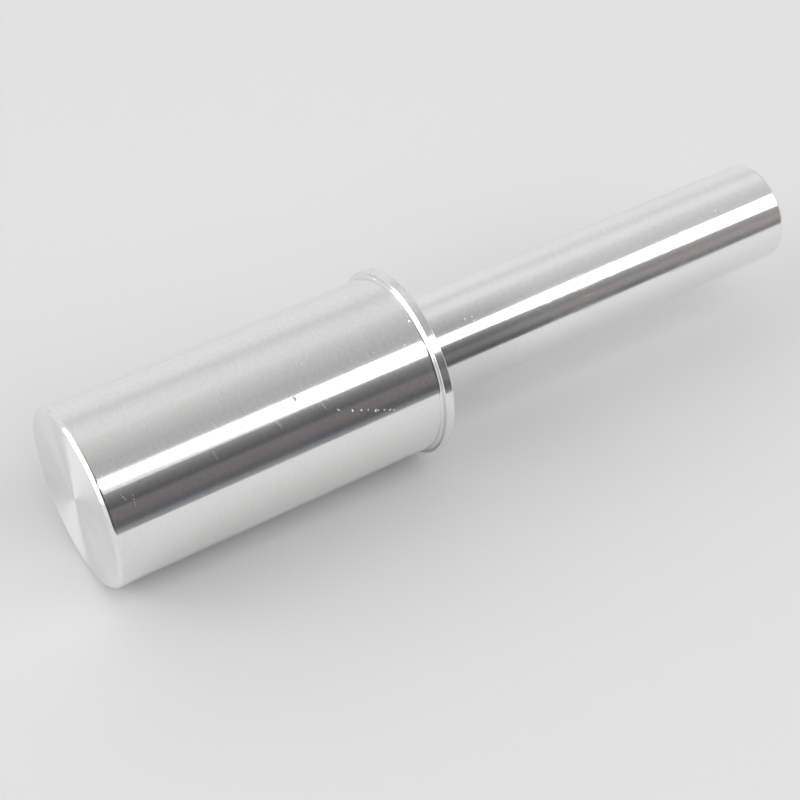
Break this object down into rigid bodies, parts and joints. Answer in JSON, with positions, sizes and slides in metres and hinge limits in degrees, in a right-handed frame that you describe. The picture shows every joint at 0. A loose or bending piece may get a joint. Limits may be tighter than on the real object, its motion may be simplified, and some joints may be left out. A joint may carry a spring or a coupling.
{
  "type": "paddock stand spindle",
  "caption": "Solid turned spindle with a thick cylindrical shank, a narrow stop collar and a slimmer locating pin with a rounded tip, for lifting a wheel by its hollow axle.",
  "frame": {"origin": "middle of the shank's end face, on the spindle's axis", "axes": "+Z along the spindle's axis from the shank's end face to the pin's tip; X and Y are any two directions across it"},
  "size_m": [0.047, 0.047, 0.197],
  "materials": {
    "turned_aluminium": "bright turned aluminium, fine tool lines round the axis, unpolished"
  },
  "bodies": {
    "root": {"spindle": "turned_aluminium"}
  },
  "joints": []
}
